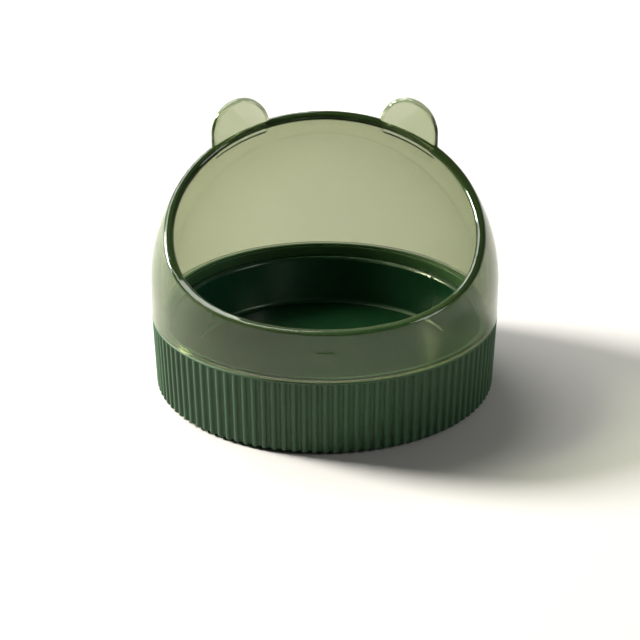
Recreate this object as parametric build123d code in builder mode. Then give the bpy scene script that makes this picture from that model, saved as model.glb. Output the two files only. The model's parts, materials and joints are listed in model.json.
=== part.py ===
from build123d import *
import math
import os

os.makedirs("parts", exist_ok=True)

# A covered food bowl for a hamster: a ribbed base that stands on four pads, a
# dish that lies loose in it, and a clear hood with two ears and a slanted mouth.
# Millimetres, +Z up, the mouth faces -Y, and the origin is on the floor under
# the middle of the base.

# Overall sizes
bowl_diameter = 100.0
seam_height = 22.5
skirt_height = 9.15

# Hood, which stands with its flat edge on the base
hood_wall = 2.8
hood_edge_round = 0.15
hood_fit_gap = 0.3
hood_seat_gap = 0.1
lip_rise = 5.65
lip_angle = 4.4
mouth_angle = 28.4
mouth_arc_radius = 75.0
mouth_edge_round = 1.0

# Ears, moulded in one with the hood and hollow from inside. Seen from above
# they follow an arc, so that their front faces rise along the edge of the mouth.
ear_offset = 24.4
ear_width = 16.7
ear_crown_height = 9.1
ear_top_drop = 3.55
ear_length = 19.35
ear_arc_radius = 49.1
ear_setback = -0.8
ear_depth = 3.4
ear_wall = 1.15
ear_front_round = 1.1
ear_back_round = 1.8

# Small raised nub on the front of the hood's skirt
nub_length = 5.6
nub_height = 2.3
nub_rise = 0.45
nub_round = 0.3
nub_drop = 6.6

# Ribbed base with a flat ledge for the hood and a low bead that centres it
foot_inset = 0.9
foot_chamfer = 0.5
floor_clearance = 0.6
base_floor = 2.7
rib_count = 108
rib_depth = 0.9
rib_inset = 0.1
collar_height = 0.6
collar_round = 0.2
bead_width = 1.0
bead_height = 0.5
bead_round = 0.2
bead_setback = 0.5
ledge_round = 0.3

# Dish that lies in the base
dish_fit_gap = 0.3
dish_seat_gap = 0.1
dish_drop = 2.6
dish_floor = 2.2
dish_rim_width = 2.2
dish_rim_height = 1.8
dish_rim_round = 0.4
dish_wall = 1.8
dish_draft = 7.0
dish_edge_round = 1.0
dish_corner_round = 1.5

# Soft pads pressed into the underside
pad_count = 4
pad_first_angle = 45.0
pad_diameter = 10.0
pad_recess = 1.0
pad_gap = 0.1
pad_setback = 13.1
pad_round = 0.25

# Worked out from the sizes above
bowl_radius = bowl_diameter / 2
dome_centre_height = seam_height + skirt_height
dome_inner_radius = bowl_radius - hood_wall
lip_height = dome_centre_height + lip_rise
hood_bottom = seam_height + hood_seat_gap
bead_radius = dome_inner_radius - hood_fit_gap
well_radius = bead_radius - bead_width - bead_setback
foot_radius = bowl_radius - foot_inset
base_floor_top = floor_clearance + base_floor
rib_top = seam_height - collar_height
dish_radius = well_radius - dish_fit_gap
dish_bottom = base_floor_top + dish_seat_gap
dish_floor_top = dish_bottom + dish_floor
dish_top = seam_height - dish_drop
pad_circle_radius = foot_radius - pad_setback

# The mouth's line rises from the lip in an arc and runs on straight. It leaves the
# ball at the back edge of the mouth, where the ears' arc starts.
lip_slope = math.radians(lip_angle)
mouth_slope = math.radians(mouth_angle)
arc_run = mouth_arc_radius * (math.sin(mouth_slope) - math.sin(lip_slope))
arc_rise = mouth_arc_radius * (math.cos(lip_slope) - math.cos(mouth_slope))
run_end = (arc_run - bowl_radius, arc_rise + lip_rise)
line_offset = run_end[1] * math.cos(mouth_slope) - run_end[0] * math.sin(mouth_slope)
half_chord = math.sqrt(bowl_radius**2 - line_offset**2)
mouth_back = half_chord * math.cos(mouth_slope) - line_offset * math.sin(mouth_slope)
ear_arc_centre = mouth_back + ear_setback - ear_arc_radius
ear_top_height = dome_centre_height + bowl_radius - ear_top_drop
ear_root_height = ear_top_height - ear_length


def polar_point(radius, angle):
    return (radius * math.cos(angle), radius * math.sin(angle))


def ribbed_section(height, crest_radius):
    """Outline of the ribbed wall: a crest arc and a valley arc for each rib."""
    quarter_step = math.pi / rib_count / 2
    valley_radius = crest_radius - rib_depth
    middle_radius = crest_radius - rib_depth / 2
    with BuildSketch(Plane.XY.offset(height)) as section:
        with BuildLine():
            for rib in range(rib_count):
                crest = 4 * quarter_step * rib
                valley = crest + 2 * quarter_step
                ThreePointArc(
                    polar_point(middle_radius, crest - quarter_step),
                    polar_point(crest_radius, crest),
                    polar_point(middle_radius, crest + quarter_step),
                )
                ThreePointArc(
                    polar_point(middle_radius, valley - quarter_step),
                    polar_point(valley_radius, valley),
                    polar_point(middle_radius, valley + quarter_step),
                )
        make_face()
    return section.sketch


# Base: a round cup with a reeded wall that narrows a little to the foot, and a
# collar, a ledge and a low bead at the top where the hood stands
ribbed_wall = [
    ribbed_section(floor_clearance, foot_radius - foot_chamfer),
    ribbed_section(floor_clearance + foot_chamfer, foot_radius),
    ribbed_section(rib_top, bowl_radius - rib_inset),
]

with BuildPart() as base_shell:
    loft(ribbed_wall, ruled=True)
    with BuildSketch(Plane.XY.offset(rib_top)):
        Circle(bowl_radius)
    extrude(amount=collar_height)
    collar_edges = base_shell.edges().filter_by(GeomType.CIRCLE).group_by(SortBy.RADIUS)[-1]
    fillet(collar_edges, radius=collar_round)
    # Well for the dish
    with BuildSketch(Plane.XY.offset(base_floor_top)):
        Circle(well_radius)
    extrude(amount=seam_height - base_floor_top, mode=Mode.SUBTRACT)
    well_edges = base_shell.edges(Select.LAST).group_by(Axis.Z)[-1]
    fillet(well_edges, radius=ledge_round)
    # Bead that centres the hood
    with BuildSketch(Plane.XY.offset(seam_height)):
        Circle(bead_radius)
        Circle(bead_radius - bead_width, mode=Mode.SUBTRACT)
    extrude(amount=bead_height)
    fillet(base_shell.edges().group_by(Axis.Z)[-1], radius=bead_round)
    # Recesses for the pads
    with BuildSketch(Plane.XY.offset(floor_clearance)):
        with PolarLocations(pad_circle_radius, pad_count, start_angle=pad_first_angle):
            Circle(pad_diameter / 2 + pad_gap)
    extrude(amount=pad_recess, mode=Mode.SUBTRACT)
base_shell.part.label = "base_shell"
export_step(base_shell.part, "parts/base_shell.step")


# Dish: a smooth shallow cup that lies loose on the base's floor
dish_run = (dish_top - dish_floor_top) * math.tan(math.radians(dish_draft))
cavity_top_radius = dish_radius - dish_rim_width
cavity_floor_radius = cavity_top_radius - dish_run

with BuildPart() as dish:
    with BuildSketch(Plane.XZ):
        with BuildLine():
            dish_line = FilletPolyline(
                (0, dish_bottom),
                (cavity_floor_radius + dish_wall, dish_bottom),
                (dish_radius, dish_top - dish_rim_height),
                (dish_radius, dish_top),
                (cavity_top_radius, dish_top),
                (cavity_floor_radius, dish_floor_top),
                (0, dish_floor_top),
                radius=[
                    dish_corner_round,
                    dish_rim_round,
                    dish_rim_round,
                    dish_edge_round,
                    dish_corner_round,
                ],
            )
            Line(dish_line @ 1, dish_line @ 0)
        make_face()
    revolve(axis=Axis.Z)
dish.part.label = "dish"
export_step(dish.part, "parts/dish.step")


# Pads: soft discs that carry the bowl
with BuildPart() as pad:
    with BuildSketch(Plane.XY):
        Circle(pad_diameter / 2)
    extrude(amount=floor_clearance + pad_recess)
    fillet(pad.edges().group_by(Axis.Z)[0], radius=pad_round)

for number in range(1, pad_count + 1):
    pad_angle = math.radians(pad_first_angle + (number - 1) * 360 / pad_count)
    with BuildPart() as foot_pad:
        with Locations(polar_point(pad_circle_radius, pad_angle)):
            add(pad.part)
    foot_pad.part.label = f"foot_pad_{number}"
    export_step(foot_pad.part, f"parts/foot_pad_{number}.step")


def ear_pair(inset, root_height):
    """Both ears as upright tabs bent to the ears' arc, drawn in all round by inset."""
    half_width = ear_width / 2 - inset
    crown_centre = ear_top_height - ear_crown_height
    with BuildPart() as tabs:
        with BuildSketch(Plane.XZ):
            with GridLocations(2 * ear_offset, 0, 2, 1):
                with Locations((0, crown_centre)):
                    Ellipse(half_width, ear_crown_height - inset)
                    Rectangle(
                        2 * half_width,
                        crown_centre - root_height,
                        align=(Align.CENTER, Align.MAX),
                    )
        extrude(amount=-(ear_arc_radius + ear_depth))
        with BuildSketch(Plane.XY.offset(root_height)):
            with Locations((0, ear_arc_centre)):
                Circle(ear_arc_radius + ear_depth - inset)
                Circle(ear_arc_radius + inset, mode=Mode.SUBTRACT)
        extrude(amount=ear_top_height - root_height, mode=Mode.INTERSECT)
    return tabs.part


def ear_edges(side):
    """Edges round the front (0) or back (-1) face of both ears, without the root's."""
    curved_faces = ears.faces().filter_by(GeomType.CYLINDER).group_by(SortBy.RADIUS)
    edges = curved_faces[side].edges()
    return edges.filter_by(lambda edge: edge.center().Z > ear_root_height + ear_wall)


with BuildPart() as ears:
    add(ear_pair(0, ear_root_height))
    fillet(ear_edges(0), radius=ear_front_round)
    fillet(ear_edges(-1), radius=ear_back_round)
    with Locations((0, 0, dome_centre_height)):
        Sphere(dome_inner_radius, mode=Mode.SUBTRACT)


# Hood: an upright skirt and half a ball, cut by a slanted mouth that
# levels out towards the lip at the front
cutter_reach = bowl_diameter
lip_drop = math.tan(lip_slope) * (cutter_reach - bowl_radius)

with BuildPart() as hood:
    with BuildSketch(Plane.YZ):
        with BuildLine():
            Polyline(
                (dome_inner_radius, dome_centre_height),
                (dome_inner_radius, hood_bottom),
                (bowl_radius, hood_bottom),
                (bowl_radius, dome_centre_height),
            )
            CenterArc((0, dome_centre_height), bowl_radius, 0, 90)
            Line(
                (0, dome_centre_height + bowl_radius),
                (0, dome_centre_height + dome_inner_radius),
            )
            CenterArc((0, dome_centre_height), dome_inner_radius, 0, 90)
        make_face()
    revolve(axis=Axis.Z)
    fillet(hood.edges().group_by(Axis.Z)[0], radius=hood_edge_round)
    # Mouth
    with BuildSketch(Plane.YZ):
        with BuildLine():
            lead_in = Line((-cutter_reach, lip_height - lip_drop), (-bowl_radius, lip_height))
            sweep_up = JernArc(
                start=lead_in @ 1,
                tangent=lead_in % 1,
                radius=mouth_arc_radius,
                arc_size=mouth_angle - lip_angle,
            )
            run_out = PolarLine(sweep_up @ 1, cutter_reach, mouth_angle)
            Polyline(
                run_out @ 1,
                ((run_out @ 1).X, dome_centre_height + cutter_reach),
                (-cutter_reach, dome_centre_height + cutter_reach),
                lead_in @ 0,
            )
        make_face()
    extrude(amount=cutter_reach, both=True, mode=Mode.SUBTRACT)
    fillet(hood.edges(Select.NEW), radius=mouth_edge_round)
    # Ears, with their pockets open to the inside
    add(ears.part)
    add(ear_pair(ear_wall, ear_root_height - 2 * hood_wall), mode=Mode.SUBTRACT)
    # Nub
    with BuildSketch(Plane.XZ.offset(bowl_radius + nub_rise)):
        with Locations((0, lip_height - nub_drop)):
            SlotOverall(nub_length, nub_height)
    extrude(amount=-hood_wall)
    fillet(hood.edges().group_by(Axis.Y)[0], radius=nub_round)
hood.part.label = "hood"
export_step(hood.part, "parts/hood.step")
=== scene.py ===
import json
import math

import bpy
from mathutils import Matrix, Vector

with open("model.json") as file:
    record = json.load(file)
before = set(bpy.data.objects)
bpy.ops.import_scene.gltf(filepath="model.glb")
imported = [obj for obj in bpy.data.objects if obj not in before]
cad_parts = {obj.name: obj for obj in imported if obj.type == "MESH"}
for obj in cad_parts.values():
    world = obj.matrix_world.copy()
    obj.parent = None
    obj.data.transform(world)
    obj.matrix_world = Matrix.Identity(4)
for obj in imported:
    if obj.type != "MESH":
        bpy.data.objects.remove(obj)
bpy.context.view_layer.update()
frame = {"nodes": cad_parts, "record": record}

MM = 0.001

# Camera, fitted to the photograph: it looks down on the middle of the bowl, which
# stands a little right of the middle of the picture
CAMERA_DISTANCE = 600 * MM
CAMERA_ELEVATION = math.radians(24.8)
CAMERA_TARGET = Vector((-1.35 * MM, 0, 18.25 * MM))
SENSOR_WIDTH = 36.0
LENS = 116.07

FLOOR_RADIUS = 6.0
FLOOR_SIDES = 64
FLOOR_DROP = 0.01 * MM
FLOOR_COLOUR = (0.46, 0.45, 0.425, 1)
FLOOR_ROUGHNESS = 0.9

# The room: pale behind the bowl from the horizon up, dim overhead, at the sides and
# on the camera's side. The heights and depths are parts of a direction's unit length
ROOM_LOW = (0.95, 0.95, 0.93, 1)
ROOM_LOW_HEIGHT = 0.05
ROOM_HIGH = (0.18, 0.19, 0.18, 1)
ROOM_HIGH_HEIGHT = 0.75
ROOM_BACK_LIFT = 0.3
ROOM_FRONT_SHARE = 0.1
ROOM_FRONT_DEPTH = -0.3
ROOM_BACK_SHARE = 1.0
ROOM_BACK_DEPTH = 0.8

LAMP_TARGET = Vector((0, 0, 30 * MM))

# Key lamp: on the left and a little behind, about 30 degrees up
KEY_COLOUR = (1.0, 0.975, 0.94)
KEY_DIRECTION = Vector((-0.82, 0.27, 0.52))
KEY_DISTANCE = 1.2
KEY_SIZE = 0.35
KEY_POWER = 52.0

# Large dim lamp, high behind the left, which draws the pale line round the mouth
FILL_DIRECTION = Vector((-0.35, 0.45, 0.82))
FILL_DISTANCE = 1.2
FILL_WIDTH = 1.0
FILL_HEIGHT = 0.7
FILL_POWER = 12.0

# Weak lamp on the right, which lifts the shadow side
SIDE_DIRECTION = Vector((0.8, -0.35, 0.45))
SIDE_DISTANCE = 1.2
SIDE_WIDTH = 0.4
SIDE_HEIGHT = 0.8
SIDE_POWER = 4.0

# Noise lies mostly between these two values. Its scales below are in features per metre
NOISE_LOW = 0.3
NOISE_HIGH = 0.7

PLASTIC_IOR = 1.5

# Base: opaque plastic with a fine spark-eroded skin
SATIN_DARK = (0.019, 0.062, 0.021, 1)
SATIN_LIGHT = (0.025, 0.077, 0.027, 1)
SATIN_ROUGHNESS = (0.52, 0.62)
SATIN_CLOUD_SCALE = 60
SATIN_GRAIN_SCALE = 2600
SATIN_GRAIN_HEIGHT = 0.03 * MM
SATIN_GRAIN_STRENGTH = 0.5

# Dish: opaque smooth plastic
GLOSS_DARK = (0.005, 0.034, 0.017, 1)
GLOSS_LIGHT = (0.008, 0.043, 0.023, 1)
GLOSS_ROUGHNESS = (0.20, 0.26)
GLOSS_CLOUD_SCALE = 45
GLOSS_GRAIN_SCALE = 1800
GLOSS_GRAIN_HEIGHT = 0.01 * MM
GLOSS_GRAIN_STRENGTH = 0.2

# Pads: matt dark rubber
RUBBER_DARK = (0.018, 0.018, 0.018, 1)
RUBBER_LIGHT = (0.032, 0.032, 0.031, 1)
RUBBER_ROUGHNESS = (0.7, 0.85)
RUBBER_GRAIN_SCALE = 3000
RUBBER_GRAIN_HEIGHT = 0.05 * MM
RUBBER_GRAIN_STRENGTH = 0.5

# Hood: clear plastic. The tint deepens with the length of plastic that the light
# passes, the haze is the small share of light that scatters at the surface, and the
# waves are those of a moulded surface
CLEAR = (1, 1, 1, 1)
ABSORPTION_COLOUR = (0.31, 0.365, 0.083, 1)
ABSORPTION_DENSITY = 470.0
HAZE_COLOUR = (0.27, 0.54, 0.11, 1)
HAZE_SHARE = (0.035, 0.055)
HAZE_SCALE = 25
WAVE_SCALE = 40
WAVE_HEIGHT = 0.1 * MM
WAVE_STRENGTH = 0.08
SHADOW_PASS = (0.92, 0.92, 0.92, 1)


def set_input(shader, name, value):
    shader.inputs[name].default_value = value


def new_material(name):
    """A new material, with its node tree, its Principled shader and its output node."""
    material = bpy.data.materials.new(name)
    material.use_nodes = True
    tree = material.node_tree
    shader = next(n for n in tree.nodes if n.type == "BSDF_PRINCIPLED")
    output = next(n for n in tree.nodes if n.type == "OUTPUT_MATERIAL")
    return material, tree, shader, output


def noise(tree, scale, detail=2.0):
    """Noise in object space."""
    place = tree.nodes.new("ShaderNodeTexCoord")
    texture = tree.nodes.new("ShaderNodeTexNoise")
    texture.inputs["Scale"].default_value = scale
    texture.inputs["Detail"].default_value = detail
    tree.links.new(place.outputs["Object"], texture.inputs["Vector"])
    return texture.outputs["Fac"]


def spread(tree, source, ends):
    """Noise turned into values between the two ends."""
    node = tree.nodes.new("ShaderNodeMapRange")
    node.inputs["From Min"].default_value = NOISE_LOW
    node.inputs["From Max"].default_value = NOISE_HIGH
    node.inputs["To Min"].default_value = ends[0]
    node.inputs["To Max"].default_value = ends[1]
    tree.links.new(source, node.inputs["Value"])
    return node.outputs["Result"]


def ramp(tree, source, low, low_colour, high, high_colour):
    """Colour that runs from low_colour at low to high_colour at high."""
    node = tree.nodes.new("ShaderNodeValToRGB")
    node.color_ramp.elements[0].position = low
    node.color_ramp.elements[0].color = low_colour
    node.color_ramp.elements[1].position = high
    node.color_ramp.elements[1].color = high_colour
    tree.links.new(source, node.inputs["Fac"])
    return node.outputs["Color"]


def vary(tree, shader, colour_noise, dark, light, roughness_noise, roughness):
    """Base colour from dark to light and roughness between two ends, both by noise."""
    colour = ramp(tree, colour_noise, NOISE_LOW, dark, NOISE_HIGH, light)
    tree.links.new(colour, shader.inputs["Base Color"])
    tree.links.new(spread(tree, roughness_noise, roughness), shader.inputs["Roughness"])


def bump(tree, shader, height, distance, strength):
    node = tree.nodes.new("ShaderNodeBump")
    node.inputs["Distance"].default_value = distance
    node.inputs["Strength"].default_value = strength
    tree.links.new(height, node.inputs["Height"])
    tree.links.new(node.outputs["Normal"], shader.inputs["Normal"])


def satin_green():
    material, tree, shader, _ = new_material("satin_green_plastic")
    cloud = noise(tree, SATIN_CLOUD_SCALE)
    grain = noise(tree, SATIN_GRAIN_SCALE, detail=3)
    vary(tree, shader, cloud, SATIN_DARK, SATIN_LIGHT, grain, SATIN_ROUGHNESS)
    set_input(shader, "IOR", PLASTIC_IOR)
    bump(tree, shader, grain, SATIN_GRAIN_HEIGHT, SATIN_GRAIN_STRENGTH)
    return material


def gloss_green():
    material, tree, shader, _ = new_material("gloss_green_plastic")
    cloud = noise(tree, GLOSS_CLOUD_SCALE)
    grain = noise(tree, GLOSS_GRAIN_SCALE)
    vary(tree, shader, cloud, GLOSS_DARK, GLOSS_LIGHT, cloud, GLOSS_ROUGHNESS)
    set_input(shader, "IOR", PLASTIC_IOR)
    bump(tree, shader, grain, GLOSS_GRAIN_HEIGHT, GLOSS_GRAIN_STRENGTH)
    return material


def pad_rubber():
    material, tree, shader, _ = new_material("pad_rubber")
    grain = noise(tree, RUBBER_GRAIN_SCALE, detail=3)
    vary(tree, shader, grain, RUBBER_DARK, RUBBER_LIGHT, grain, RUBBER_ROUGHNESS)
    bump(tree, shader, grain, RUBBER_GRAIN_HEIGHT, RUBBER_GRAIN_STRENGTH)
    return material


def mix_shaders(tree, share, first, second):
    """The first shader with a share of the second one in it."""
    mix = tree.nodes.new("ShaderNodeMixShader")
    tree.links.new(share, mix.inputs[0])
    tree.links.new(first, mix.inputs[1])
    tree.links.new(second, mix.inputs[2])
    return mix.outputs["Shader"]


def add_haze(tree, surface, share):
    """The surface with a share of soft green scatter in it."""
    haze = tree.nodes.new("ShaderNodeBsdfDiffuse")
    haze.inputs["Color"].default_value = HAZE_COLOUR
    return mix_shaders(tree, share, surface, haze.outputs["BSDF"])


def let_lamps_through(tree, surface):
    """The surface, but shadow rays pass straight through it and only take its tint."""
    path = tree.nodes.new("ShaderNodeLightPath")
    straight = tree.nodes.new("ShaderNodeBsdfTransparent")
    straight.inputs["Color"].default_value = SHADOW_PASS
    return mix_shaders(tree, path.outputs["Is Shadow Ray"], surface, straight.outputs["BSDF"])


def clear_green():
    material, tree, shader, output = new_material("clear_green_plastic")
    wave = noise(tree, WAVE_SCALE, detail=1)
    cloud = noise(tree, HAZE_SCALE)
    set_input(shader, "Base Color", CLEAR)
    set_input(shader, "Transmission Weight", 1.0)
    set_input(shader, "Roughness", 0.0)
    set_input(shader, "IOR", PLASTIC_IOR)
    bump(tree, shader, wave, WAVE_HEIGHT, WAVE_STRENGTH)
    absorption = tree.nodes.new("ShaderNodeVolumeAbsorption")
    absorption.inputs["Color"].default_value = ABSORPTION_COLOUR
    absorption.inputs["Density"].default_value = ABSORPTION_DENSITY
    tree.links.new(absorption.outputs["Volume"], output.inputs["Volume"])
    hazy = add_haze(tree, shader.outputs["BSDF"], spread(tree, cloud, HAZE_SHARE))
    tree.links.new(let_lamps_through(tree, hazy), output.inputs["Surface"])
    return material


def floor_paint():
    material, _, shader, _ = new_material("pale_floor")
    set_input(shader, "Base Color", FLOOR_COLOUR)
    set_input(shader, "Roughness", FLOOR_ROUGHNESS)
    return material


def dress_nodes():
    """Gives each node the material that the record's slot names."""
    made = {
        "clear_green": clear_green(),
        "satin_green": satin_green(),
        "gloss_green": gloss_green(),
        "pad_rubber": pad_rubber(),
    }
    for part in frame["record"]["subparts"]:
        node = frame["nodes"][part["node"]]
        node.material_slots[0].material = made[part["material_slot"]]


def make_floor():
    bpy.ops.mesh.primitive_circle_add(
        vertices=FLOOR_SIDES, radius=FLOOR_RADIUS, fill_type="NGON", location=(0, 0, -FLOOR_DROP)
    )
    floor = bpy.context.object
    floor.name = "floor"
    floor.data.materials.append(floor_paint())


def soft_lamp(name, direction, distance, width, height, power, colour=(1, 1, 1)):
    """An elliptical lamp that points at the middle of the bowl."""
    data = bpy.data.lights.new(name, "AREA")
    data.shape = "ELLIPSE"
    data.size = width
    data.size_y = height
    data.energy = power
    data.color = colour
    lamp = bpy.data.objects.new(name, data)
    lamp.location = LAMP_TARGET + distance * direction.normalized()
    lamp.rotation_euler = (-direction).to_track_quat("-Z", "Y").to_euler()
    bpy.context.scene.collection.objects.link(lamp)


def room():
    """Soft light from all round: its colour by height, its strength by depth."""
    world = bpy.data.worlds.new("studio")
    world.use_nodes = True
    tree = world.node_tree
    direction = tree.nodes.new("ShaderNodeTexCoord")
    parts = tree.nodes.new("ShaderNodeSeparateXYZ")
    tree.links.new(direction.outputs["Generated"], parts.inputs["Vector"])
    height = tree.nodes.new("ShaderNodeMath")
    height.operation = "MULTIPLY_ADD"
    height.inputs[1].default_value = -ROOM_BACK_LIFT
    tree.links.new(parts.outputs["Y"], height.inputs[0])
    tree.links.new(parts.outputs["Z"], height.inputs[2])
    colour = ramp(
        tree, height.outputs["Value"], ROOM_LOW_HEIGHT, ROOM_LOW, ROOM_HIGH_HEIGHT, ROOM_HIGH
    )
    strength = tree.nodes.new("ShaderNodeMapRange")
    strength.inputs["From Min"].default_value = ROOM_FRONT_DEPTH
    strength.inputs["From Max"].default_value = ROOM_BACK_DEPTH
    strength.inputs["To Min"].default_value = ROOM_FRONT_SHARE
    strength.inputs["To Max"].default_value = ROOM_BACK_SHARE
    tree.links.new(parts.outputs["Y"], strength.inputs["Value"])
    background = tree.nodes["Background"]
    tree.links.new(colour, background.inputs["Color"])
    tree.links.new(strength.outputs["Result"], background.inputs["Strength"])
    return world


def light_scene():
    scene = bpy.context.scene
    scene.world = room()
    soft_lamp("key", KEY_DIRECTION, KEY_DISTANCE, KEY_SIZE, KEY_SIZE, KEY_POWER, KEY_COLOUR)
    soft_lamp("fill", FILL_DIRECTION, FILL_DISTANCE, FILL_WIDTH, FILL_HEIGHT, FILL_POWER)
    soft_lamp("side", SIDE_DIRECTION, SIDE_DISTANCE, SIDE_WIDTH, SIDE_HEIGHT, SIDE_POWER)
    scene.view_settings.view_transform = "Standard"
    # The hood's shadow rays already let the lamps' light through
    scene.cycles.caustics_refractive = False


def make_camera():
    data = bpy.data.cameras.new("camera")
    data.lens = LENS
    data.sensor_width = SENSOR_WIDTH
    camera = bpy.data.objects.new("camera", data)
    back = Vector((0, -math.cos(CAMERA_ELEVATION), math.sin(CAMERA_ELEVATION)))
    camera.location = CAMERA_TARGET + CAMERA_DISTANCE * back
    camera.rotation_euler = (math.pi / 2 - CAMERA_ELEVATION, 0, 0)
    bpy.context.scene.collection.objects.link(camera)
    bpy.context.scene.camera = camera


make_camera()
light_scene()
make_floor()
dress_nodes()
